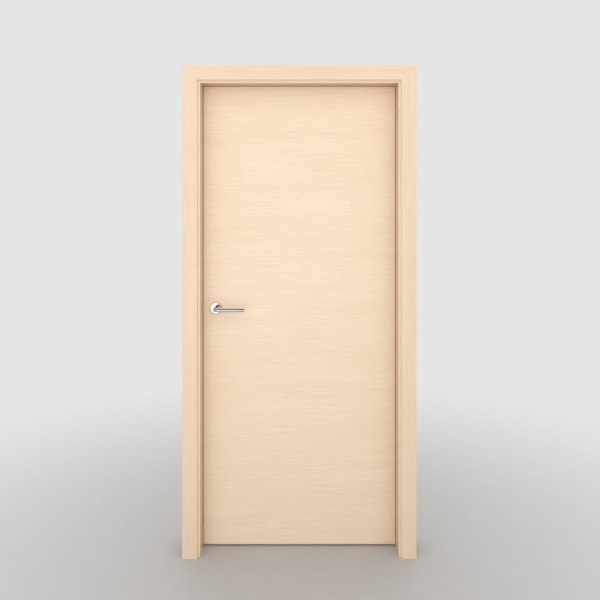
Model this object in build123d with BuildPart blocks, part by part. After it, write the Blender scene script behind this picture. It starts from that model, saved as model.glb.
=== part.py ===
"""Flush interior door set: a veneered flush leaf on three butt hinges in a rebated, mitred lining,
with flat architraves on both faces of the wall, a rebate seal, a tubular latch and a pair of levers.

Frame of the model: +Z is up and +Y runs away from the room the door is looked at from. The origin is on
the back face of the hinge-side lining, at floor level and at mid-depth of the wall. The leaf hangs on the
+X side and opens towards +Y. All lengths are in millimetres.
"""

import os

from build123d import *

# Leaf
leaf_width = 864.0
leaf_height = 2032.0
leaf_thickness = 40.0
skin_thickness = 4.0
lipping_thickness = 8.0
lipping_arris = 1.5
stile_width = 34.0
rail_height = 80.0

# Room round the closed leaf
leaf_gap = 6.5  # to the rebate at both sides and the head
floor_gap = 10.0  # undercut above the finished floor
stop_gap = 5.0  # from the leaf's near face to the stop

# Lining
wall_thickness = 130.0
lining_thickness = 25.0  # behind the rebate
stop_lap = 6.0  # how far the stop covers the leaf's edge
lining_arris = 2.0
back_arris = 1.5

# Architraves
casing_width = 64.0
casing_thickness = 14.0
casing_reveal = 11.0  # lining edge left showing inside the architrave
casing_arris = 2.5
tongue_thickness = 5.0
tongue_length = 8.0
tongue_setback = 8.0  # from the lining's back face
tongue_clearance = 0.3
relief_depth = 1.5
relief_margin = 5.0

# Seal in the stop
seal_groove_width = 3.0
seal_groove_depth = 5.0
seal_groove_setback = 3.0  # from the stop's inner face
seal_clearance = 0.4
seal_lip = 3.0  # how far the bulb shows past the stop
seal_wall = 1.0

# Butt hinges
hinge_height = 89.0
hinge_plate_width = 31.0
hinge_plate_thickness = 2.5
hinge_corner = 8.0
hinge_top_margin = 178.0  # leaf top to hinge top
hinge_bottom_margin = 279.0  # leaf bottom to hinge bottom
barrel_radius = 6.0
pin_radius = 3.5
pin_clearance = 0.05
pin_cap_height = 3.0
pin_cap_arris = 1.2
knuckle_count = 5
knuckle_gap = 0.4
plate_setback = 1.0  # plate edge back from the wood's far face, between knuckles
mortise_clearance = 0.15
screw_radius = 2.2
screw_head_radius = 4.2
screw_spread = 0.36  # outer screws from the plate's middle, as a share of its height

# Latch and strike
handle_height = 1054.0  # spindle axis above the floor
backset = 65.0  # leaf edge to spindle axis
faceplate_width = 25.0
faceplate_height = 57.0
faceplate_thickness = 3.0
plate_corner = 6.0
plate_screw_radius = 1.8
plate_screw_head_radius = 3.3
plate_screw_rise = 20.0  # above and below the latch axis
bolt_width = 11.5
bolt_height = 14.0
bolt_length = 30.0
bolt_proud = 1.0
bolt_bevel = 8.0
bolt_edge = 1.0  # flat left at the tip of the bevel
bolt_clearance = 0.3
case_radius = 11.0
case_end = 14.0  # latch case past the spindle axis
case_clearance = 0.2
hub_radius = 6.5
strike_thickness = 2.0
strike_lip_height = 30.0
strike_lip_radius = 4.0
strike_hole_width = 16.0
strike_hole_height = 22.0
strike_pocket_depth = 14.0

# Lever furniture
rosette_radius = 25.0
rosette_thickness = 9.0
rosette_rim = 2.5
cross_bore_radius = 11.5
spindle_size = 8.0
spindle_grip = 30.0  # how far the spindle runs past the leaf's face
spindle_clearance = 0.1
neck_radius = 10.0
neck_clearance = 0.3
neck_seat = 6.0  # neck inside the rosette
lever_reach = 56.0  # leaf face to the middle of the bar
lever_bend = 15.0  # radius of the bend, at the middle of the bar
lever_length = 129.0  # spindle axis to the tip
tip_height = 16.0
tip_depth = 10.0
tip_arris = 1.5

# Places worked out from the sizes above
half_wall = wall_thickness / 2
stop_thickness = lining_thickness + leaf_gap + stop_lap
frame_width = leaf_width + 2 * (leaf_gap + lining_thickness)
frame_height = floor_gap + leaf_height + leaf_gap + lining_thickness

leaf_hinge_x = -(lining_thickness + leaf_gap)
leaf_latch_x = leaf_hinge_x - leaf_width
leaf_far_y = half_wall
leaf_near_y = leaf_far_y - leaf_thickness
leaf_mid_y = (leaf_far_y + leaf_near_y) / 2
leaf_top_z = floor_gap + leaf_height
stop_back_y = leaf_near_y - stop_gap
core_near_y = leaf_near_y + skin_thickness
core_depth = leaf_thickness - 2 * skin_thickness
lipped_latch_x = leaf_latch_x + lipping_thickness
lipped_hinge_x = leaf_hinge_x - lipping_thickness
lipped_width = lipped_hinge_x - lipped_latch_x
infill_width = lipped_width - 2 * stile_width
strike_face_x = lining_thickness - frame_width
strike_lip_y = half_wall - strike_lip_radius / 2

pin_x = -(lining_thickness + leaf_gap / 2)
pin_y = half_wall + barrel_radius
spindle_x = leaf_latch_x + backset

low_hinge_z = floor_gap + hinge_bottom_margin + hinge_height / 2
high_hinge_z = leaf_top_z - hinge_top_margin - hinge_height / 2
hinge_places = {
    "bottom": low_hinge_z,
    "middle": (low_hinge_z + high_hinge_z) / 2,
    "top": high_hinge_z,
}

# Each side of the frame has a plane across it. In that plane x runs from the lining's back face towards
# the doorway and y runs through the wall. Members run past the corners and are then cut to the mitres.
mitre_room = 2 * casing_width
hinge_plane = Plane(origin=(0, 0, frame_height), x_dir=(-1, 0, 0), z_dir=(0, 0, -1)).offset(-mitre_room)
latch_plane = Plane(origin=(-frame_width, 0, 0), x_dir=(1, 0, 0), z_dir=(0, 0, 1))
head_plane = Plane(origin=(-frame_width, 0, frame_height), x_dir=(0, 0, -1), z_dir=(1, 0, 0)).offset(-mitre_room)
hinge_mitre = Plane(origin=(0, 0, frame_height), z_dir=(-1, 0, 1))
latch_mitre = Plane(origin=(-frame_width, 0, frame_height), z_dir=(1, 0, 1))
sides = {
    "hinge_side": (hinge_plane, frame_height + mitre_room, [(hinge_mitre, Keep.BOTTOM)]),
    "latch_side": (latch_plane, frame_height + mitre_room, [(latch_mitre, Keep.BOTTOM)]),
    "head": (head_plane, frame_width + 2 * mitre_room, [(hinge_mitre, Keep.TOP), (latch_mitre, Keep.TOP)]),
}

LOW = (Align.MIN, Align.MIN)
LOW_BOX = (Align.MIN, Align.MIN, Align.MIN)
LOW_END = (Align.CENTER, Align.CENTER, Align.MIN)
TO_FAR_FACE = (Align.MAX, Align.CENTER)
FROM_MIDDLE = (Align.MIN, Align.CENTER)
finished = {}


def keep(name, builder):
    """Labels a finished piece and lists it for export."""
    piece = builder.part
    piece.label = name
    finished[name] = piece


def lining_section():
    """Section of the rebated lining: stop, rebate, architrave grooves and seal groove."""
    groove_width = tongue_thickness + 2 * tongue_clearance
    groove_depth = tongue_length + tongue_clearance
    groove_x = tongue_setback + tongue_thickness / 2
    with BuildSketch() as section:
        with Locations((0, -half_wall)):
            Rectangle(stop_thickness, wall_thickness, align=LOW)
        with Locations((lining_thickness, stop_back_y)):
            Rectangle(stop_thickness, wall_thickness, align=LOW, mode=Mode.SUBTRACT)
        far_corner = section.vertices().group_by(Axis.Y)[-1].sort_by(Axis.X)[-1]
        stop_corners = section.vertices().group_by(Axis.X)[-1]
        fillet([far_corner, *stop_corners], lining_arris)
        chamfer(section.vertices().group_by(Axis.X)[0], back_arris)
        with Locations((groove_x, half_wall - groove_depth / 2), (groove_x, groove_depth / 2 - half_wall)):
            Rectangle(groove_width, groove_depth, mode=Mode.SUBTRACT)
        with Locations((stop_thickness - seal_groove_setback, stop_back_y)):
            Rectangle(seal_groove_width, seal_groove_depth, align=(Align.MAX, Align.MAX), mode=Mode.SUBTRACT)
    return section.sketch


def casing_section(inner_edge, outward):
    """Section of an architrave with its tongue. outward is -1 on the near face and 1 on the far face."""
    back_y = outward * half_wall
    relief_width = casing_width - inner_edge - 2 * relief_margin
    with BuildSketch() as section:
        with Locations((inner_edge - casing_width / 2, back_y + outward * casing_thickness / 2)):
            Rectangle(casing_width, casing_thickness)
        front_corners = section.vertices().sort_by(Axis((0, 0, 0), (0, outward, 0)))[-2:]
        fillet(front_corners, casing_arris)
        with Locations((tongue_setback + tongue_thickness / 2, back_y - outward * tongue_length / 2)):
            Rectangle(tongue_thickness, tongue_length)
        with Locations((-relief_margin - relief_width / 2, back_y + outward * relief_depth / 2)):
            Rectangle(relief_width, relief_depth, mode=Mode.SUBTRACT)
    return section.sketch


def seal_section():
    """Section of the rebate seal: a hollow bulb that shows past the stop, and a stem in the groove."""
    bulb_depth = stop_gap - 2 * seal_clearance
    bulb_length = seal_groove_setback + seal_groove_width + seal_lip
    bulb_x = stop_thickness + seal_lip - bulb_length / 2
    bulb_y = stop_back_y + seal_clearance / 2 + bulb_depth / 2
    stem_x = stop_thickness - seal_groove_setback - seal_groove_width / 2
    stem_width = seal_groove_width - 2 * mortise_clearance
    stem_length = bulb_depth / 2 + seal_groove_depth - seal_clearance
    with BuildSketch() as section:
        with Locations((bulb_x, bulb_y)):
            SlotOverall(bulb_length, bulb_depth)
        with Locations((stem_x, bulb_y)):
            Rectangle(stem_width, stem_length, align=(Align.CENTER, Align.MAX))
        with Locations((bulb_x, bulb_y)):
            SlotOverall(bulb_length - 2 * seal_wall, bulb_depth - 2 * seal_wall, mode=Mode.SUBTRACT)
    return section.sketch


def frame_member(section, side):
    """A bar of that section along one side of the frame, cut to its mitres."""
    plane, length, mitres = sides[side]
    with BuildPart() as member:
        with BuildSketch(plane):
            add(section)
        extrude(amount=length)
        for mitre, kept in mitres:
            split(bisect_by=mitre, keep=kept)
    return member


def cut_hinge_mortises(face_x, inward):
    """Cuts the three hinge mortises into the current part. inward is the sense of X into the wood."""
    for middle_z in hinge_places.values():
        with BuildSketch(Plane.YZ.offset(face_x)) as mortise:
            with Locations((half_wall, middle_z)):
                Rectangle(
                    hinge_plate_width + mortise_clearance,
                    hinge_height + 2 * mortise_clearance,
                    align=TO_FAR_FACE,
                )
            fillet(mortise.vertices().group_by(Axis.X)[0], hinge_corner)
        extrude(mortise.sketch, amount=inward * hinge_plate_thickness, mode=Mode.SUBTRACT)


def knuckle_lows(middle_z, parity):
    """Low ends of every second knuckle of a hinge, from the bottom up."""
    pitch = hinge_height / knuckle_count
    low = middle_z - hinge_height / 2 + knuckle_gap / 2
    return [low + i * pitch for i in range(knuckle_count) if i % 2 == parity]


def hinge_half(middle_z, face_x, inward, parity):
    """One half of a butt hinge: the plate let into the wood, its knuckles, and the countersunk holes."""
    knuckle_length = hinge_height / knuckle_count - knuckle_gap
    plate_low_x = min(face_x, face_x + inward * hinge_plate_thickness)
    outer_screw_y = half_wall - hinge_plate_width * (1 - screw_spread) / 2
    inner_screw_y = half_wall - hinge_plate_width * (1 + screw_spread) / 2
    screw_places = [
        (outer_screw_y, middle_z + hinge_height * screw_spread),
        (inner_screw_y, middle_z),
        (outer_screw_y, middle_z - hinge_height * screw_spread),
    ]
    with BuildPart() as half:
        with BuildSketch(Plane.YZ.offset(face_x)) as outline:
            with Locations((half_wall - plate_setback, middle_z)):
                Rectangle(hinge_plate_width - plate_setback, hinge_height, align=TO_FAR_FACE)
            fillet(outline.vertices().group_by(Axis.X)[0], hinge_corner)
        extrude(amount=inward * hinge_plate_thickness)
        for low in knuckle_lows(middle_z, parity):
            with Locations((plate_low_x, half_wall - plate_setback, low)):
                Box(hinge_plate_thickness, plate_setback + barrel_radius, knuckle_length, align=LOW_BOX)
            with Locations((pin_x, pin_y, low)):
                Cylinder(barrel_radius, knuckle_length, align=LOW_END)
        with Locations((pin_x, pin_y, middle_z)):
            Cylinder(pin_radius + pin_clearance, hinge_height, mode=Mode.SUBTRACT)
        with Locations(*[Plane(origin=(face_x, y, z), z_dir=(-inward, 0, 0)) for y, z in screw_places]):
            CounterSinkHole(screw_radius, screw_head_radius, depth=hinge_plate_thickness)
    return half


def hinge_pin(middle_z):
    """A hinge pin with a button cap at each end of the barrel."""
    low_z = middle_z - hinge_height / 2
    high_z = middle_z + hinge_height / 2
    with BuildPart() as pin:
        with Locations((pin_x, pin_y, low_z)):
            Cylinder(pin_radius, hinge_height, align=LOW_END)
        with Locations((pin_x, pin_y, low_z - pin_cap_height), (pin_x, pin_y, high_z)):
            Cylinder(barrel_radius, pin_cap_height, align=LOW_END)
        rims = pin.edges().filter_by(GeomType.CIRCLE).sort_by(Axis.Z)
        fillet([rims[0], rims[-1]], pin_cap_arris)
    return pin


def leaf_slab(low_x, width, low_y, depth, low_z, height):
    """A plain upright board of the leaf."""
    with BuildPart() as slab:
        with Locations((low_x, low_y, low_z)):
            Box(width, depth, height, align=LOW_BOX)
    return slab


def cut_cross_bore():
    """Bores the current part through for the spindle."""
    with Locations(Plane(origin=(spindle_x, leaf_mid_y, handle_height), z_dir=(0, 1, 0))):
        Cylinder(cross_bore_radius, leaf_thickness, mode=Mode.SUBTRACT)


def cut_latch_bore():
    """Bores the current part for the latch case, from the leaf's latch edge past the spindle."""
    bore_length = backset + case_end + case_clearance
    with Locations(Plane(origin=(leaf_latch_x, leaf_mid_y, handle_height), z_dir=(1, 0, 0))):
        Cylinder(case_radius + case_clearance, bore_length, align=LOW_END, mode=Mode.SUBTRACT)


def cut_plate_screws(face_x, outward, thickness):
    """Countersinks the two screw holes of the faceplate or the strike plate."""
    rises = (-plate_screw_rise, plate_screw_rise)
    places = [Plane(origin=(face_x, leaf_mid_y, handle_height + rise), z_dir=(outward, 0, 0)) for rise in rises]
    with Locations(*places):
        CounterSinkHole(plate_screw_radius, plate_screw_head_radius, depth=thickness)


# Linings
lining = lining_section()
with BuildPart() as hinge_jamb:
    add(frame_member(lining, "hinge_side"))
    cut_hinge_mortises(-lining_thickness, 1)
keep("jamb_hinge_side", hinge_jamb)

with BuildPart() as latch_jamb:
    add(frame_member(lining, "latch_side"))
    with BuildSketch(Plane.YZ.offset(strike_face_x)):
        with Locations((leaf_mid_y, handle_height)):
            RectangleRounded(
                faceplate_width + 2 * mortise_clearance,
                faceplate_height + 2 * mortise_clearance,
                plate_corner + mortise_clearance,
            )
            Rectangle(half_wall - leaf_mid_y, strike_lip_height + 2 * mortise_clearance, align=FROM_MIDDLE)
    extrude(amount=-strike_thickness, mode=Mode.SUBTRACT)
    with Locations((strike_face_x, half_wall, handle_height)):
        Box(
            strike_lip_radius,
            strike_lip_radius / 2,
            strike_lip_height + 2 * mortise_clearance,
            align=(Align.MAX, Align.MAX, Align.CENTER),
            mode=Mode.SUBTRACT,
        )
    with Locations((strike_face_x, leaf_mid_y, handle_height)):
        Box(
            strike_pocket_depth,
            strike_hole_width,
            strike_hole_height,
            align=(Align.MAX, Align.CENTER, Align.CENTER),
            mode=Mode.SUBTRACT,
        )
keep("jamb_latch_side", latch_jamb)
keep("jamb_head", frame_member(lining, "head"))

# Architraves and seals
near_casing = casing_section(stop_thickness - casing_reveal, -1)
far_casing = casing_section(lining_thickness - casing_reveal, 1)
seal = seal_section()
for side in sides:
    keep("casing_near_" + side, frame_member(near_casing, side))
    keep("casing_far_" + side, frame_member(far_casing, side))
    keep("seal_" + side, frame_member(seal, side))

# Strike plate, with its lip rolled over the arris of the rebate
with BuildPart() as strike:
    with BuildSketch(Plane.YZ.offset(strike_face_x)):
        with Locations((leaf_mid_y, handle_height)):
            RectangleRounded(faceplate_width, faceplate_height, plate_corner)
            Rectangle(strike_lip_y - leaf_mid_y, strike_lip_height, align=FROM_MIDDLE)
            Rectangle(strike_hole_width, strike_hole_height, mode=Mode.SUBTRACT)
    extrude(amount=-strike_thickness)
    with BuildSketch(Plane.XY.offset(handle_height - strike_lip_height / 2)):
        with Locations((strike_face_x - strike_lip_radius, strike_lip_y)):
            Circle(strike_lip_radius)
            Circle(strike_lip_radius - strike_thickness, mode=Mode.SUBTRACT)
            Rectangle(strike_lip_radius, strike_lip_radius, align=LOW, mode=Mode.INTERSECT)
    extrude(amount=strike_lip_height)
    cut_plate_screws(strike_face_x, 1, strike_thickness)
keep("strike_plate", strike)

# Hinges
for place, middle in hinge_places.items():
    keep("hinge_" + place + "_frame_plate", hinge_half(middle, -lining_thickness, 1, 0))
    keep("hinge_" + place + "_leaf_plate", hinge_half(middle, leaf_hinge_x, -1, 1))
    keep("hinge_" + place + "_pin", hinge_pin(middle))

# Leaf skins, framing and core
for name, skin_y in (("near_skin", leaf_near_y), ("far_skin", leaf_far_y - skin_thickness)):
    with BuildPart() as skin:
        add(leaf_slab(lipped_latch_x, lipped_width, skin_y, skin_thickness, floor_gap, leaf_height))
        cut_cross_bore()
    keep(name, skin)

infill_x = lipped_latch_x + stile_width
infill_z = floor_gap + rail_height
top_rail_z = leaf_top_z - rail_height
with BuildPart() as infill:
    add(leaf_slab(infill_x, infill_width, core_near_y, core_depth, infill_z, top_rail_z - infill_z))
    cut_cross_bore()
    cut_latch_bore()
keep("core_infill", infill)
keep("bottom_rail", leaf_slab(infill_x, infill_width, core_near_y, core_depth, floor_gap, rail_height))
keep("top_rail", leaf_slab(infill_x, infill_width, core_near_y, core_depth, top_rail_z, rail_height))

with BuildPart() as latch_stile:
    add(leaf_slab(lipped_latch_x, stile_width, core_near_y, core_depth, floor_gap, leaf_height))
    cut_latch_bore()
keep("stile_latch_side", latch_stile)
hinge_stile_x = lipped_hinge_x - stile_width
keep("stile_hinge_side", leaf_slab(hinge_stile_x, stile_width, core_near_y, core_depth, floor_gap, leaf_height))

# Edge lippings, with the hinge mortises in one and the latch let into the other
with BuildPart() as hinge_lipping:
    add(leaf_slab(lipped_hinge_x, lipping_thickness, leaf_near_y, leaf_thickness, floor_gap, leaf_height))
    fillet(hinge_lipping.edges().filter_by(Axis.Z).group_by(Axis.X)[-1], lipping_arris)
    cut_hinge_mortises(leaf_hinge_x, -1)
keep("lipping_hinge_side", hinge_lipping)

with BuildPart() as latch_lipping:
    add(leaf_slab(leaf_latch_x, lipping_thickness, leaf_near_y, leaf_thickness, floor_gap, leaf_height))
    fillet(latch_lipping.edges().filter_by(Axis.Z).group_by(Axis.X)[0], lipping_arris)
    cut_latch_bore()
    with BuildSketch(Plane.YZ.offset(leaf_latch_x)):
        with Locations((leaf_mid_y, handle_height)):
            RectangleRounded(
                faceplate_width + 2 * mortise_clearance,
                faceplate_height + 2 * mortise_clearance,
                plate_corner + mortise_clearance,
            )
    extrude(amount=faceplate_thickness, mode=Mode.SUBTRACT)
keep("lipping_latch_side", latch_lipping)

# Tubular latch: faceplate and case in one, and the bolt drawn back
latch_axis = Plane(origin=(leaf_latch_x, leaf_mid_y, handle_height), x_dir=(0, 1, 0), z_dir=(1, 0, 0))
bolt_chamber = bolt_length + bolt_clearance - bolt_proud
with BuildPart() as latch_case:
    with BuildSketch(latch_axis):
        RectangleRounded(faceplate_width, faceplate_height, plate_corner)
    extrude(amount=faceplate_thickness)
    with BuildSketch(latch_axis):
        Circle(case_radius)
    extrude(amount=backset + case_end)
    with BuildSketch(latch_axis):
        Rectangle(bolt_width + 2 * bolt_clearance, bolt_height + 2 * bolt_clearance)
    extrude(amount=bolt_chamber, mode=Mode.SUBTRACT)
    with Locations(Plane(origin=(spindle_x, leaf_mid_y, handle_height), z_dir=(0, 1, 0))):
        Cylinder(hub_radius, leaf_thickness, mode=Mode.SUBTRACT)
    cut_plate_screws(leaf_latch_x, -1, faceplate_thickness)
keep("latch_case", latch_case)

with BuildPart() as bolt:
    with Locations((leaf_latch_x - bolt_proud, leaf_mid_y, handle_height)):
        Box(bolt_length, bolt_width, bolt_height, align=(Align.MIN, Align.CENTER, Align.CENTER))
    nose = bolt.edges().filter_by(Axis.Z).group_by(Axis.X)[0].sort_by(Axis.Y)[0]
    chamfer(nose, bolt_bevel, bolt_width - bolt_edge, reference=bolt.faces().sort_by(Axis.Y)[0])
keep("latch_bolt", bolt)

# Rosettes, and levers whose round neck bends into a bar that tapers and flattens to its tip
for name, face_y, outward in (("near", leaf_near_y, -1), ("far", leaf_far_y, 1)):
    seat = Plane(origin=(spindle_x, face_y, handle_height), x_dir=(1, 0, 0), z_dir=(0, outward, 0))
    with BuildPart() as rosette:
        with BuildSketch(seat):
            Circle(rosette_radius)
        extrude(amount=rosette_thickness)
        fillet(rosette.faces().sort_by(Axis(seat.origin, seat.z_dir))[-1].edges(), rosette_rim)
        with BuildSketch(seat):
            Circle(neck_radius + neck_clearance)
        extrude(amount=rosette_thickness, mode=Mode.SUBTRACT)
    keep("rosette_" + name, rosette)

    neck_foot = seat.offset(rosette_thickness - neck_seat)
    bend_start = seat.offset(lever_reach - lever_bend)
    bar_start = Plane(
        origin=(spindle_x + lever_bend, face_y + outward * lever_reach, handle_height),
        x_dir=(0, outward, 0),
        z_dir=(1, 0, 0),
    )
    with BuildPart() as lever:
        with BuildSketch(neck_foot):
            Circle(neck_radius)
        extrude(amount=lever_reach - lever_bend - rosette_thickness + neck_seat)
        with BuildSketch(bend_start):
            Circle(neck_radius)
        bend_line = Axis(
            (spindle_x + lever_bend, face_y + outward * (lever_reach - lever_bend), handle_height),
            (0, 0, -outward),
        )
        revolve(axis=bend_line, revolution_arc=90)
        with BuildSketch(bar_start):
            Circle(neck_radius)
        with BuildSketch(bar_start.offset(lever_length - lever_bend)):
            Ellipse(tip_depth / 2, tip_height / 2)
        loft()
        fillet(lever.faces().sort_by(Axis.X)[-1].edges(), tip_arris)
        with BuildSketch(neck_foot):
            Rectangle(spindle_size + 2 * spindle_clearance, spindle_size + 2 * spindle_clearance)
        extrude(amount=spindle_grip + spindle_clearance - rosette_thickness + neck_seat, mode=Mode.SUBTRACT)
    keep("lever_" + name, lever)

with BuildPart() as spindle:
    with Locations((spindle_x, leaf_mid_y, handle_height)):
        Box(spindle_size, leaf_thickness + 2 * spindle_grip, spindle_size)
keep("spindle", spindle)

os.makedirs("parts", exist_ok=True)
for name, piece in finished.items():
    export_step(piece, "parts/" + name + ".step")
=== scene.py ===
"""Dresses, stages and frames a flush interior door in pale veneer.

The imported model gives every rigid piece. This script finishes each of them with a procedural
material, adds the screws that hold the ironmongery, and sets up a plain studio with a level
camera in front.
"""

import logging
import math
from dataclasses import dataclass, field, replace
from enum import Enum

import bpy
from mathutils import Matrix, Vector


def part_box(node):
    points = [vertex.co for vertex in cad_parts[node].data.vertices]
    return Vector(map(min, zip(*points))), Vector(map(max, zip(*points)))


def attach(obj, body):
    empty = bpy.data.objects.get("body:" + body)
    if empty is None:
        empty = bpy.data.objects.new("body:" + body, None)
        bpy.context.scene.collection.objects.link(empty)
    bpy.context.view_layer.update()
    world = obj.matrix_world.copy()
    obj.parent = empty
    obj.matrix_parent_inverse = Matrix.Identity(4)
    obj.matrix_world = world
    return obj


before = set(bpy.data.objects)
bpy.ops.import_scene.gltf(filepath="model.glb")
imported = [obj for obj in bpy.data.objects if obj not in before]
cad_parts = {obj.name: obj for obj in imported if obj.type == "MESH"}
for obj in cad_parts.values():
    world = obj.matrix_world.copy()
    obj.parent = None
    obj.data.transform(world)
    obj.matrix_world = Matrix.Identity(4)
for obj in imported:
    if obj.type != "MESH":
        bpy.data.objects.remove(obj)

LOG = logging.getLogger("flush_door")

MM = 0.001

CURVE_FOOT = 0.04045
CURVE_SLOPE = 12.92
CURVE_OFFSET = 0.055
CURVE_POWER = 2.4

NOISE_LOW = 0.3
NOISE_HIGH = 0.7

Colour = tuple[float, float, float, float]
Triple = tuple[float, float, float]
Socket = bpy.types.NodeSocket


class Grain(Enum):
    """The way the wood grain runs on a piece."""

    ACROSS = "across"
    UPRIGHT = "upright"


def linear(red: int, green: int, blue: int) -> Colour:
    """Turns a display colour into the linear colour that shaders take.

    Args:
        red: Red, 0 to 255.
        green: Green, 0 to 255.
        blue: Blue, 0 to 255.

    Returns:
        The linear colour with full alpha.
    """
    channels = []
    for value in (red, green, blue):
        share = value / 255
        if share <= CURVE_FOOT:
            channels.append(share / CURVE_SLOPE)
        else:
            channels.append(((share + CURVE_OFFSET) / (1 + CURVE_OFFSET)) ** CURVE_POWER)
    return (channels[0], channels[1], channels[2], 1.0)


class NodeSheet:
    """A material's node tree, with short calls for the nodes that the finishes share."""

    def __init__(self, name: str) -> None:
        """Starts an empty material of that name with a shader and an output."""
        self.material = bpy.data.materials.new(name)
        self.material.use_nodes = True
        self.tree = self.material.node_tree
        self.tree.nodes.clear()
        self.output = self.tree.nodes.new("ShaderNodeOutputMaterial")
        self.shader = self.tree.nodes.new("ShaderNodeBsdfPrincipled")
        self.link(self.shader.outputs["BSDF"], self.output.inputs["Surface"])
        self.place = self.tree.nodes.new("ShaderNodeTexCoord").outputs["Object"]

    def link(self, source: Socket, target: Socket) -> None:
        """Joins one socket to another."""
        self.tree.links.new(source, target)

    def drive(self, name: str, source: Socket) -> None:
        """Feeds a value into the shader's input of that name."""
        self.link(source, self.shader.inputs[name])

    def hold(self, name: str, value: float | Colour) -> None:
        """Sets the shader's input of that name to one value."""
        self.shader.inputs[name].default_value = value

    def noise(self, scale: Triple, detail: float = 2.0, roughness: float = 0.5) -> Socket:
        """Adds a noise pattern on the object's coordinates.

        Args:
            scale: Pattern repeats per metre along X, Y and Z.
            detail: Octaves of finer noise.
            roughness: Weight of the finer octaves.

        Returns:
            The noise value, about 0.3 to 0.7.
        """
        stretched = self.tree.nodes.new("ShaderNodeMapping")
        stretched.inputs["Scale"].default_value = scale
        self.link(self.place, stretched.inputs["Vector"])
        node = self.tree.nodes.new("ShaderNodeTexNoise")
        node.inputs["Scale"].default_value = 1.0
        node.inputs["Detail"].default_value = detail
        node.inputs["Roughness"].default_value = roughness
        self.link(stretched.outputs["Vector"], node.inputs["Vector"])
        return node.outputs["Fac"]

    def ranged(
        self, source: Socket, low: float, high: float, to_low: float, to_high: float
    ) -> Socket:
        """Maps a value from one range to another, held at the ends.

        Args:
            source: The value.
            low: Value that becomes to_low.
            high: Value that becomes to_high.
            to_low: Result at low.
            to_high: Result at high.

        Returns:
            The mapped value.
        """
        node = self.tree.nodes.new("ShaderNodeMapRange")
        node.inputs["From Min"].default_value = low
        node.inputs["From Max"].default_value = high
        node.inputs["To Min"].default_value = to_low
        node.inputs["To Max"].default_value = to_high
        self.link(source, node.inputs["Value"])
        return node.outputs["Result"]

    def sum(self, first: Socket, second: Socket) -> Socket:
        """Adds two patterns.

        Args:
            first: A value.
            second: The value added to it.

        Returns:
            Their sum.
        """
        node = self.tree.nodes.new("ShaderNodeMath")
        node.operation = "ADD"
        self.link(first, node.inputs[0])
        self.link(second, node.inputs[1])
        return node.outputs["Value"]

    def blend(self, amount: Socket, first: Colour | Socket, second: Colour | Socket) -> Socket:
        """Blends two colours by a pattern.

        Args:
            amount: 0 gives the first colour, 1 the second.
            first: A colour or a colour socket.
            second: A colour or a colour socket.

        Returns:
            The blended colour.
        """
        node = self.tree.nodes.new("ShaderNodeMix")
        node.data_type = "RGBA"
        self.link(amount, node.inputs["Factor"])
        for socket, value in ((node.inputs[6], first), (node.inputs[7], second)):
            if isinstance(value, Socket):
                self.link(value, socket)
            else:
                socket.default_value = value
        return node.outputs[2]

    def relief(self, height: Socket, depth: float, strength: float) -> None:
        """Raises the surface by a pattern.

        Args:
            height: The pattern, 0 to 1.
            depth: How many metres 1 stands above 0.
            strength: Share of the relief that shows.
        """
        node = self.tree.nodes.new("ShaderNodeBump")
        node.inputs["Strength"].default_value = strength
        node.inputs["Distance"].default_value = depth
        self.link(height, node.inputs["Height"])
        self.drive("Normal", node.outputs["Normal"])


@dataclass(frozen=True)
class GrainLayer:
    """One layer of a wood's figure.

    The noise repeats lengthwise and across so many times per metre. Its values from low to high
    count, from nothing to the layer's weight.
    """

    lengthwise: float
    across: float
    low: float
    high: float
    weight: float
    detail: float = 2.0
    roughness: float = 0.5


BANDS = GrainLayer(lengthwise=0.9, across=16, low=0.35, high=0.65, weight=0.16)
STREAKS = GrainLayer(
    lengthwise=4.2, across=330, low=0.35, high=0.68, weight=0.56, detail=3, roughness=0.6
)
HAIRS = GrainLayer(lengthwise=12, across=780, low=0.38, high=0.66, weight=0.28)
PORES = GrainLayer(lengthwise=42, across=1100, low=0.62, high=0.74, weight=0.55, detail=1)


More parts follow.
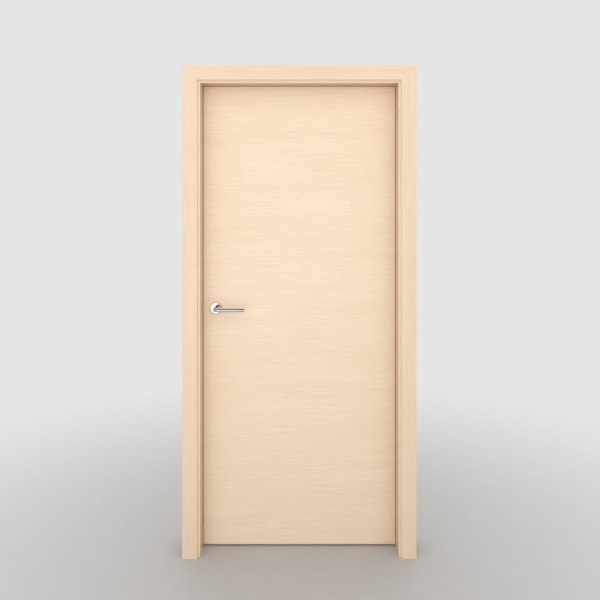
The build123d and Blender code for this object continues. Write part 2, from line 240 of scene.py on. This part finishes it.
@dataclass(frozen=True)
class VeneerFinish:
    """Wood with fine straight grain: broad bands, streaks, hair lines and pores."""

    name: str
    grain: Grain
    pale: Colour
    deep: Colour
    pore: Colour
    contrast: float = 1.0
    roughness: float = 0.42
    smoother: float = 0.05
    rougher: float = 0.07
    coat: float = 0.08
    coat_roughness: float = 0.3
    relief_low: float = 0.4
    relief_high: float = 1.2
    relief_depth: float = 0.12 * MM
    relief_strength: float = 0.5

    def pattern(self, sheet: NodeSheet, layer: GrainLayer) -> Socket:
        """Lays a layer's noise along the grain.

        Args:
            sheet: The material's nodes.
            layer: The layer.

        Returns:
            The noise value.
        """
        if self.grain is Grain.ACROSS:
            scale = (layer.lengthwise, layer.across, layer.across)
        else:
            scale = (layer.across, layer.across, layer.lengthwise)
        return sheet.noise(scale, layer.detail, layer.roughness)

    def weighed(self, sheet: NodeSheet, noise: Socket, layer: GrainLayer) -> Socket:
        """Turns a layer's noise into its share of the grain's tone.

        Args:
            sheet: The material's nodes.
            noise: The layer's noise.
            layer: The layer.

        Returns:
            The share, 0 where the layer doesn't deepen the wood.
        """
        return sheet.ranged(noise, layer.low, layer.high, 0.0, layer.weight * self.contrast)

    def wood(self, sheet: NodeSheet, tone: Socket) -> Socket:
        """Gives the wood's colour, before its pores.

        Args:
            sheet: The material's nodes.
            tone: The grain, 0 where pale and 1 where deep.

        Returns:
            The colour.
        """
        return sheet.blend(tone, self.pale, self.deep)

    def build(self) -> bpy.types.Material:
        """Builds the material.

        Returns:
            The wood.
        """
        sheet = NodeSheet(self.name)
        bands = self.pattern(sheet, BANDS)
        streaks = self.pattern(sheet, STREAKS)
        hairs = self.pattern(sheet, HAIRS)
        pores = self.pattern(sheet, PORES)
        lines = sheet.sum(
            self.weighed(sheet, streaks, STREAKS), self.weighed(sheet, hairs, HAIRS)
        )
        tone = sheet.sum(self.weighed(sheet, bands, BANDS), lines)
        flecks = sheet.ranged(pores, PORES.low, PORES.high, 0.0, PORES.weight)
        sheet.drive("Base Color", sheet.blend(flecks, self.wood(sheet, tone), self.pore))
        smooth, rough = self.roughness - self.smoother, self.roughness + self.rougher
        sheet.drive("Roughness", sheet.ranged(streaks, NOISE_LOW, NOISE_HIGH, smooth, rough))
        sheet.hold("Coat Weight", self.coat)
        sheet.hold("Coat Roughness", self.coat_roughness)
        raised = sheet.ranged(
            sheet.sum(hairs, flecks), self.relief_low, self.relief_high, 1.0, 0.0
        )
        sheet.relief(raised, self.relief_depth, self.relief_strength)
        return sheet.material


@dataclass(frozen=True)
class PaintedShadeLiningFinish(VeneerFinish):
    """Veneer of the lining with painted shade and painted light: its faces in the opening are a
    darker copy of the veneer, for the shade that falls there, and its two narrow edges are
    painted paler, for the light that falls on them.
    """

    # Painted light: the narrow edges at both faces of the wall are painted paler than the
    # lining's faces in the opening.
    painted_light_edge_pale: Colour = linear(253, 229, 200)
    painted_light_edge_deep: Colour = linear(244, 216, 184)
    painted_light_edge_start: float = 63.2 * MM
    painted_light_edge_full: float = 64.2 * MM

    def wood(self, sheet: NodeSheet, tone: Socket) -> Socket:
        """Gives the wood's colour: painted shade, darker, on the faces in the opening, and
        painted light, paler, on the narrow edges at both faces of the wall.

        Args:
            sheet: The material's nodes.
            tone: The grain, 0 where pale and 1 where deep.

        Returns:
            The colour.
        """
        parted = sheet.tree.nodes.new("ShaderNodeSeparateXYZ")
        sheet.link(sheet.place, parted.inputs[0])
        depth = sheet.tree.nodes.new("ShaderNodeMath")
        depth.operation = "ABSOLUTE"
        sheet.link(parted.outputs["Y"], depth.inputs[0])
        # Painted light on the narrow edges; the rest keeps the painted shade of the faces in the
        # opening.
        painted_light_edge_mask = sheet.ranged(depth.outputs["Value"], self.painted_light_edge_start, self.painted_light_edge_full, 0.0, 1.0)
        body = sheet.blend(tone, self.pale, self.deep)
        return sheet.blend(painted_light_edge_mask, body, sheet.blend(tone, self.painted_light_edge_pale, self.painted_light_edge_deep))


@dataclass(frozen=True)
class MetalFinish:
    """Metal with a drawn or polished surface."""

    name: str
    colour: Colour
    shade: Colour
    roughness: float
    spread: float
    brushing: Triple
    scratch_depth: float
    scratch_strength: float = 0.4
    clouding: Triple = (60, 60, 60)
    tone_low: float = 0.8
    tone_high: float = 1.25

    def build(self) -> bpy.types.Material:
        """Builds the material.

        Returns:
            The metal.
        """
        sheet = NodeSheet(self.name)
        lines = sheet.noise(self.brushing, detail=3, roughness=0.6)
        clouds = sheet.noise(self.clouding)
        tone = sheet.ranged(sheet.sum(lines, clouds), self.tone_low, self.tone_high, 0.0, 1.0)
        sheet.drive("Base Color", sheet.blend(tone, self.colour, self.shade))
        smooth, rough = self.roughness - self.spread, self.roughness + self.spread
        sheet.drive("Roughness", sheet.ranged(lines, NOISE_LOW, NOISE_HIGH, smooth, rough))
        sheet.hold("Metallic", 1.0)
        sheet.relief(lines, self.scratch_depth, self.scratch_strength)
        return sheet.material


@dataclass(frozen=True)
class RubberFinish:
    """Extruded sealing rubber: matt, with a faint bloom along its length."""

    name: str
    colour: Colour
    bloom: Colour
    texture: Triple = (900, 900, 900)
    texture_depth: float = 0.05 * MM
    texture_strength: float = 0.6
    clouding: Triple = (40, 40, 8)
    bloom_low: float = 0.35
    bloom_share: float = 0.6
    smooth: float = 0.62
    rough: float = 0.78

    def build(self) -> bpy.types.Material:
        """Builds the material.

        Returns:
            The rubber.
        """
        sheet = NodeSheet(self.name)
        texture = sheet.noise(self.texture)
        clouds = sheet.noise(self.clouding)
        bloom = sheet.ranged(clouds, self.bloom_low, NOISE_HIGH, 0.0, self.bloom_share)
        sheet.drive("Base Color", sheet.blend(bloom, self.colour, self.bloom))
        sheet.drive(
            "Roughness", sheet.ranged(clouds, NOISE_LOW, NOISE_HIGH, self.smooth, self.rough)
        )
        sheet.relief(texture, self.texture_depth, self.texture_strength)
        return sheet.material


@dataclass(frozen=True)
class BoardFinish:
    """Pressed chips of wood, seen only inside the bores."""

    name: str
    pale: Colour
    deep: Colour
    chipping: Triple = (260, 420, 180)
    chip_low: float = 0.38
    chip_high: float = 0.62
    chip_depth: float = 0.3 * MM
    chip_strength: float = 0.7
    smooth: float = 0.75
    rough: float = 0.9

    def build(self) -> bpy.types.Material:
        """Builds the material.

        Returns:
            The board.
        """
        sheet = NodeSheet(self.name)
        chips = sheet.noise(self.chipping, roughness=0.7)
        tone = sheet.ranged(chips, self.chip_low, self.chip_high, 0.0, 1.0)
        sheet.drive("Base Color", sheet.blend(tone, self.pale, self.deep))
        sheet.drive(
            "Roughness", sheet.ranged(chips, NOISE_LOW, NOISE_HIGH, self.smooth, self.rough)
        )
        sheet.relief(chips, self.chip_depth, self.chip_strength)
        return sheet.material


LEAF_VENEER = VeneerFinish(
    name="leaf_veneer_across",
    grain=Grain.ACROSS,
    pale=linear(254, 233, 207),
    deep=linear(242, 215, 185),
    pore=linear(224, 192, 160),
)
ARCHITRAVE_UPRIGHT = VeneerFinish(
    name="architrave_veneer_upright",
    grain=Grain.UPRIGHT,
    pale=linear(246, 223, 194),
    deep=linear(236, 208, 177),
    pore=linear(218, 188, 156),
    contrast=1.2,
)
ARCHITRAVE_ACROSS = replace(
    ARCHITRAVE_UPRIGHT, name="architrave_veneer_across", grain=Grain.ACROSS
)
# Painted shade: the lining is a darker copy of the architrave's veneer, for the shade inside the
# opening.
LINING_PAINTED_SHADE_UPRIGHT = PaintedShadeLiningFinish(
    name="lining_veneer_painted_shade_upright",
    grain=Grain.UPRIGHT,
    pale=linear(224, 197, 167),
    deep=linear(213, 182, 150),
    pore=linear(198, 165, 133),
    contrast=0.8,
)
LINING_PAINTED_SHADE_ACROSS = replace(LINING_PAINTED_SHADE_UPRIGHT, name="lining_veneer_painted_shade_across", grain=Grain.ACROSS)
LIPPING_WOOD = VeneerFinish(
    name="lipping_wood",
    grain=Grain.UPRIGHT,
    pale=linear(240, 213, 182),
    deep=linear(224, 190, 154),
    pore=linear(200, 164, 128),
    contrast=0.9,
)
SOFTWOOD_UPRIGHT = VeneerFinish(
    name="softwood_upright",
    grain=Grain.UPRIGHT,
    pale=linear(236, 206, 160),
    deep=linear(210, 170, 118),
    pore=linear(190, 148, 98),
    contrast=1.2,
    roughness=0.7,
    coat=0.0,
)
SOFTWOOD_ACROSS = replace(SOFTWOOD_UPRIGHT, name="softwood_across", grain=Grain.ACROSS)
CORE_BOARD = BoardFinish(
    name="core_chipboard", pale=linear(206, 172, 128), deep=linear(150, 112, 72)
)
SEAL_RUBBER = RubberFinish(
    name="seal_rubber_brown", colour=linear(158, 128, 98), bloom=linear(176, 146, 116)
)
BRIGHT_METAL = MetalFinish(
    name="bright_polished_metal",
    colour=linear(226, 225, 222),
    shade=linear(216, 215, 212),
    roughness=0.1,
    spread=0.03,
    brushing=(120, 1400, 1400),
    scratch_depth=0.01 * MM,
)
SATIN_STEEL = MetalFinish(
    name="satin_steel",
    colour=linear(206, 204, 200),
    shade=linear(182, 180, 176),
    roughness=0.3,
    spread=0.06,
    brushing=(1400, 1400, 90),
    scratch_depth=0.02 * MM,
)
PLAIN_STEEL = MetalFinish(
    name="plain_steel",
    colour=linear(176, 174, 170),
    shade=linear(150, 148, 145),
    roughness=0.42,
    spread=0.06,
    brushing=(900, 60, 900),
    scratch_depth=0.03 * MM,
)


def dress(material: bpy.types.Material, *names: str) -> None:
    """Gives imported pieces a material.

    Args:
        material: The finish.
        names: The pieces.
    """
    for name in names:
        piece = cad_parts[name]
        for place in piece.material_slots:
            place.material = material
        LOG.info("dressed %s in %s", name, material.name)


def deselect() -> None:
    """Leaves edit mode and deselects every object."""
    if bpy.context.object is not None and bpy.context.object.mode != "OBJECT":
        bpy.ops.object.mode_set(mode="OBJECT")
    bpy.ops.object.select_all(action="DESELECT")


@dataclass
class ScrewPattern:
    """A countersunk screw head with a cross recess, modelled once and copied to each hole."""

    head_radius: float = 4.0 * MM
    head_height: float = 2.2 * MM
    shank_radius: float = 2.0 * MM
    recess_width: float = 1.0 * MM
    recess_span: float = 4.6 * MM
    recess_depth: float = 1.3 * MM
    rim_share: float = 0.12
    rise_share: float = 0.03
    level: float = 0.9
    sides: int = 32
    turn_step: float = math.radians(37)
    placed: int = field(default=0, init=False)
    master: bpy.types.Object | None = field(default=None, init=False)

    def pick_end(self, screw: bpy.types.Object, way: float) -> None:
        """Selects the flat end that faces up, with way 1, or down, with way -1, in edit mode."""
        bpy.ops.object.mode_set(mode="EDIT")
        bpy.ops.mesh.select_mode(type="FACE")
        bpy.ops.mesh.select_all(action="DESELECT")
        bpy.ops.object.mode_set(mode="OBJECT")
        for face in screw.data.polygons:
            face.select = face.normal.z * way > self.level
        bpy.ops.object.mode_set(mode="EDIT")

    def cut_slot(self, screw: bpy.types.Object, turn: float) -> None:
        """Cuts one slot of the cross.

        Args:
            screw: The head that is cut.
            turn: The slot's turn about the head's axis.
        """
        deselect()
        bpy.ops.mesh.primitive_cube_add(size=1, location=(0, 0, 0), rotation=(0, 0, turn))
        slot = bpy.context.object
        slot.scale = (self.recess_span, self.recess_width, 2 * self.recess_depth)
        bpy.ops.object.transform_apply(location=True, rotation=True, scale=True)
        cut = screw.modifiers.new("cross", "BOOLEAN")
        cut.operation = "DIFFERENCE"
        cut.object = slot
        deselect()
        screw.select_set(True)
        bpy.context.view_layer.objects.active = screw
        bpy.ops.object.modifier_apply(modifier=cut.name)
        bpy.data.objects.remove(slot)

    def model(self) -> bpy.types.Object:
        """Models the head at the origin, its face up, with the cross cut in.

        Returns:
            The pattern screw.
        """
        deselect()
        bpy.ops.mesh.primitive_cylinder_add(
            vertices=self.sides,
            radius=self.head_radius,
            depth=self.head_height,
            location=(0, 0, -self.head_height / 2),
        )
        screw = bpy.context.object
        bpy.ops.object.transform_apply(location=True, rotation=True, scale=True)
        self.pick_end(screw, -1)
        narrow = self.shank_radius / self.head_radius
        bpy.ops.transform.resize(
            value=(narrow, narrow, 1), center_override=(0, 0, -self.head_height)
        )
        self.pick_end(screw, 1)
        bpy.ops.mesh.inset(
            thickness=self.head_radius * self.rim_share, depth=self.head_radius * self.rise_share
        )
        bpy.ops.object.mode_set(mode="OBJECT")
        for turn in (0, math.pi / 2):
            self.cut_slot(screw, turn)
        self.master = screw
        return screw

    def place(
        self,
        name: str,
        at: Vector,
        facing: Vector,
        body: str,
        slot: str,
        finish: bpy.types.Material,
    ) -> None:
        """Copies the pattern to a hole, each copy turned a little further than the last.

        Args:
            name: Name of the new piece.
            at: Middle of the head's face.
            facing: The way the head faces.
            body: The body that it rides on.
            slot: Not used.
            finish: The material.
        """
        pattern = self.master or self.model()
        screw = bpy.data.objects.new(name, pattern.data.copy())
        bpy.context.collection.objects.link(screw)
        self.placed += 1
        driven = Matrix.Rotation(self.placed * self.turn_step, 4, "Z")
        turn = Vector((0, 0, 1)).rotation_difference(facing).to_matrix().to_4x4()
        screw.data.transform(Matrix.Translation(at) @ turn @ driven)
        screw.data.materials.clear()
        screw.data.materials.append(finish)
        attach(screw, body)
        LOG.info("placed %s", name)

    def discard(self) -> None:
        """Removes the pattern once its copies are placed."""
        if self.master is not None:
            bpy.data.objects.remove(self.master)
            self.master = None


@dataclass
class Surround:
    """The lining, its architraves and the seal in its rebate."""

    sides: tuple[str, ...] = ("hinge_side", "latch_side")
    faces: tuple[str, ...] = ("near", "far")

    def dress(self) -> None:
        """Runs the grain up the sides and across the heads."""
        uprights = [f"casing_{face}_{side}" for face in self.faces for side in self.sides]
        dress(LINING_PAINTED_SHADE_UPRIGHT.build(), *(f"jamb_{side}" for side in self.sides))
        dress(LINING_PAINTED_SHADE_ACROSS.build(), "jamb_head")
        dress(ARCHITRAVE_UPRIGHT.build(), *uprights)
        dress(ARCHITRAVE_ACROSS.build(), *(f"casing_{face}_head" for face in self.faces))
        dress(SEAL_RUBBER.build(), "seal_head", *(f"seal_{side}" for side in self.sides))


@dataclass
class Leaf:
    """The flush leaf: two veneered skins on a lipped and framed core."""

    faces: tuple[str, ...] = ("near", "far")
    sides: tuple[str, ...] = ("hinge_side", "latch_side")

    def dress(self) -> None:
        """Finishes the skins, the lipped edges, the framing and the core."""
        dress(LEAF_VENEER.build(), *(f"{face}_skin" for face in self.faces))
        dress(LIPPING_WOOD.build(), *(f"lipping_{side}" for side in self.sides))
        dress(SOFTWOOD_UPRIGHT.build(), *(f"stile_{side}" for side in self.sides))
        dress(SOFTWOOD_ACROSS.build(), "top_rail", "bottom_rail")
        dress(CORE_BOARD.build(), "core_infill")


@dataclass
class Hinges:
    """The butt hinges and their screws."""

    places: tuple[str, ...] = ("bottom", "middle", "top")
    plate_width: float = 31.0 * MM
    screw_spread: float = 0.36
    head_sink: float = 0.15 * MM

    def holes(self, node: str) -> list[tuple[float, float]]:
        """Finds the screw holes of a plate.

        Args:
            node: The plate.

        Returns:
            The depth into the wall and the height of each hole.
        """
        low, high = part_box(node)
        height = high.z - low.z
        middle = (low.z + high.z) / 2
        outer = low.y + self.plate_width * (1 + self.screw_spread) / 2
        inner = low.y + self.plate_width * (1 - self.screw_spread) / 2
        return [
            (outer, middle + height * self.screw_spread),
            (inner, middle),
            (outer, middle - height * self.screw_spread),
        ]

    def dress(self) -> None:
        """Finishes the plates and pins, and screws the plates down."""
        steel = SATIN_STEEL.build()
        screws = ScrewPattern()
        leaf_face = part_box("lipping_hinge_side")[1].x
        for place in self.places:
            pin = f"hinge_{place}_pin"
            dress(steel, f"hinge_{place}_frame_plate", f"hinge_{place}_leaf_plate", pin)
            pin_low, pin_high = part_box(pin)
            frame_face = pin_low.x + pin_high.x - leaf_face
            for body, face, facing in (("frame", frame_face, -1.0), ("leaf", leaf_face, 1.0)):
                for number, (depth, height) in enumerate(
                    self.holes(f"hinge_{place}_{body}_plate"), 1
                ):
                    screws.place(
                        f"screw_{place}_{body}_plate_{number}",
                        Vector((face - facing * self.head_sink, depth, height)),
                        Vector((facing, 0, 0)),
                        body,
                        "satin_steel",
                        steel,
                    )
        screws.discard()


@dataclass
class Latch:
    """The tubular latch, the strike plate and their screws."""

    screw_rise: float = 20.0 * MM
    head_sink: float = 0.1 * MM

    def dress(self) -> None:
        """Finishes the plates and the bolt, and screws the plates down."""
        steel = SATIN_STEEL.build()
        dress(steel, "latch_case", "latch_bolt", "strike_plate")
        screws = ScrewPattern(
            head_radius=3.1 * MM,
            head_height=1.7 * MM,
            shank_radius=1.6 * MM,
            recess_width=0.8 * MM,
            recess_span=3.6 * MM,
            recess_depth=1.0 * MM,
        )
        case_low, case_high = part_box("latch_case")
        case_face = case_low.x + self.head_sink
        strike_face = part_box("strike_plate")[1].x - self.head_sink
        depth = (case_low.y + case_high.y) / 2
        middle = (case_low.z + case_high.z) / 2
        for number, height in enumerate((middle - self.screw_rise, middle + self.screw_rise), 1):
            for plate, body, face, facing in (
                ("faceplate", "leaf", case_face, -1),
                ("strike", "frame", strike_face, 1),
            ):
                screws.place(
                    f"screw_{plate}_{number}",
                    Vector((face, depth, height)),
                    Vector((facing, 0, 0)),
                    body,
                    "satin_steel",
                    steel,
                )
        screws.discard()


@dataclass
class Levers:
    """The levers, their roses and the spindle."""

    faces: tuple[str, ...] = ("near", "far")

    def dress(self) -> None:
        """Polishes the levers and roses, and leaves the spindle plain."""
        metal = BRIGHT_METAL.build()
        dress(metal, *(f"lever_{face}" for face in self.faces))
        dress(metal, *(f"rosette_{face}" for face in self.faces))
        dress(PLAIN_STEEL.build(), "spindle")


def leaf_middle() -> float:
    """Gives the X of the leaf's middle."""
    low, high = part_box("near_skin")
    return (low.x + high.x) / 2


@dataclass(frozen=True)
class SoftBox:
    """A soft box that faces the door squarely, unseen by the camera.

    It stands so many metres to the right of the leaf's middle, at a depth on Y and a height.
    """

    name: str
    aside: float
    depth: float
    height: float
    size: tuple[float, float]
    power: float

    def hang(self) -> None:
        """Hangs the lamp."""
        light = bpy.data.lights.new(self.name, "AREA")
        light.shape = "RECTANGLE"
        light.size, light.size_y = self.size
        light.energy = self.power
        holder = bpy.data.objects.new(self.name, light)
        bpy.context.collection.objects.link(holder)
        holder.location = (leaf_middle() + self.aside, self.depth, self.height)
        facing = Vector((0, -self.depth, 0))
        holder.rotation_euler = facing.to_track_quat("-Z", "Y").to_euler()
        holder.visible_camera = False


@dataclass(frozen=True)
class DarkCard:
    """An upright dark card that only polished metal shows, as a flag in a studio."""

    name: str
    depth: float
    height: float
    size: tuple[float, float]
    colour: Colour = linear(70, 68, 66)
    roughness: float = 0.9

    def stand(self) -> None:
        """Stands the card at the leaf's middle."""
        deselect()
        bpy.ops.mesh.primitive_plane_add(size=1, location=(0, 0, 0))
        card = bpy.context.object
        card.name = self.name
        card.data.transform(
            Matrix.Translation((leaf_middle(), self.depth, self.height))
            @ Matrix.Rotation(math.pi / 2, 4, "X")
            @ Matrix.Diagonal((self.size[0], self.size[1], 1, 1))
        )
        sheet = NodeSheet("dark_card")
        sheet.hold("Base Color", self.colour)
        sheet.hold("Roughness", self.roughness)
        card.data.materials.append(sheet.material)
        card.visible_camera = False
        card.visible_diffuse = False
        card.visible_shadow = False


FRONT_PANEL = SoftBox(
    "front_panel", aside=0.3, depth=-3.06, height=3.5, size=(7.5, 4.6), power=63
)
FAR_PANEL = SoftBox("far_panel", aside=0.0, depth=3.4, height=2.9, size=(7.5, 4.6), power=56)
LOW_BOX = SoftBox(
    "low_box", aside=-1.3865, depth=-2.98, height=0.68, size=(1.33, 0.83), power=6
)
LOW_STRIP = SoftBox(
    "low_strip", aside=-0.4465, depth=-2.98, height=0.6, size=(0.36, 1.0), power=1.25
)
HIGH_CARD = DarkCard("high_card", depth=-2.95, height=3.4, size=(7.0, 4.0))


@dataclass
class Floor:
    """A pale floor that fades into the background away from the door."""

    size: float = 14.0
    solid: float = 0.3
    gone: float = 2.8
    pale: Colour = linear(194, 193, 192)
    deep: Colour = linear(187, 186, 185)
    clouding: Triple = (9, 9, 9)
    roughness: float = 0.6
    shine: float = 0.15

    def lay(self) -> None:
        """Lays the floor under the door."""
        low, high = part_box("jamb_head")
        deselect()
        bpy.ops.mesh.primitive_plane_add(size=self.size, location=((low.x + high.x) / 2, 0, 0))
        floor = bpy.context.object
        floor.name = "floor"
        sheet = NodeSheet("pale_floor")
        clouds = sheet.noise(self.clouding, detail=3)
        distance = sheet.tree.nodes.new("ShaderNodeVectorMath")
        distance.operation = "LENGTH"
        sheet.link(sheet.place, distance.inputs[0])
        sheet.drive("Base Color", sheet.blend(clouds, self.pale, self.deep))
        sheet.hold("Roughness", self.roughness)
        sheet.hold("Specular IOR Level", self.shine)
        fade = sheet.ranged(distance.outputs["Value"], self.solid, self.gone, 1.0, 0.0)
        fade.node.interpolation_type = "SMOOTHSTEP"
        sheet.drive("Alpha", fade)
        floor.data.materials.append(sheet.material)


@dataclass
class Surroundings:
    """The pale background, and the room's even light on the door."""

    background: Colour = linear(229, 229, 230)
    light: Colour = (1.0, 1.0, 1.0, 1.0)
    strength: float = 0.8

    def build(self) -> None:
        """Shows the background to the camera, mirrors and glass, and the light to all else."""
        world = bpy.data.worlds.new("studio")
        bpy.context.scene.world = world
        world.use_nodes = True
        nodes, links = world.node_tree.nodes, world.node_tree.links
        nodes.clear()
        output = nodes.new("ShaderNodeOutputWorld")
        shown = nodes.new("ShaderNodeBackground")
        shown.inputs["Color"].default_value = self.background
        lit = nodes.new("ShaderNodeBackground")
        lit.inputs["Strength"].default_value = self.strength
        lit.inputs["Color"].default_value = self.light
        rays = nodes.new("ShaderNodeLightPath")
        seen = rays.outputs["Is Camera Ray"]
        for kind in ("Is Glossy Ray", "Is Transmission Ray"):
            either = nodes.new("ShaderNodeMath")
            either.operation = "MAXIMUM"
            links.new(seen, either.inputs[0])
            links.new(rays.outputs[kind], either.inputs[1])
            seen = either.outputs["Value"]
        choice = nodes.new("ShaderNodeMixShader")
        links.new(seen, choice.inputs[0])
        links.new(lit.outputs["Background"], choice.inputs[1])
        links.new(shown.outputs["Background"], choice.inputs[2])
        links.new(choice.outputs["Shader"], output.inputs["Surface"])


@dataclass
class FrontCamera:
    """A level camera in front of the door, with the photograph's horizon.

    The rows and columns are of the square photograph, in pixels. The camera stands at eye height,
    at its distance from the front of the near architrave, on whose face pixel_size is measured.
    """

    frame_pixels: float = 600.0
    horizon_row: float = 190.0
    middle_row: float = 300.0
    middle_column: float = 300.0
    vanishing_column: float = 299.3
    eye_height: float = 1.576
    distance: float = 2.926
    pixel_size: float = 4.272 * MM
    sensor: float = 36.0

    def stand(self) -> None:
        """Stands the camera up and makes it the scene's own."""
        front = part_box("casing_near_head")[0].y
        lens = bpy.data.cameras.new("front_camera")
        lens.sensor_fit = "HORIZONTAL"
        lens.sensor_width = self.sensor
        lens.lens = self.sensor * self.distance / (self.pixel_size * self.frame_pixels)
        lens.shift_x = (self.middle_column - self.vanishing_column) / self.frame_pixels
        lens.shift_y = (self.horizon_row - self.middle_row) / self.frame_pixels
        camera = bpy.data.objects.new("front_camera", lens)
        bpy.context.collection.objects.link(camera)
        camera.location = (leaf_middle(), front - self.distance, self.eye_height)
        camera.rotation_euler = (math.pi / 2, 0, 0)
        bpy.context.scene.camera = camera


@dataclass
class Studio:
    """The floor, the light and the camera.

    Two big panels light the door softly from high in front and from behind. The low box, the
    strip and the dark card stand where the bright metal mirrors them.
    """

    lamps: tuple[SoftBox, ...] = (FRONT_PANEL, FAR_PANEL, LOW_BOX, LOW_STRIP)

    def build(self) -> None:
        """Sets the stage."""
        Floor().lay()
        Surroundings().build()
        for lamp in self.lamps:
            lamp.hang()
        HIGH_CARD.stand()
        FrontCamera().stand()
        bpy.context.scene.view_settings.view_transform = "Standard"


def main() -> None:
    """Builds the door's finishes and the studio."""
    logging.basicConfig(level=logging.INFO, format="%(name)s: %(message)s")
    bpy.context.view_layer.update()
    for part in (Surround(), Leaf(), Hinges(), Latch(), Levers()):
        part.dress()
        LOG.info("finished %s", type(part).__name__)
    Studio().build()


if __name__ == "__main__":
    main()
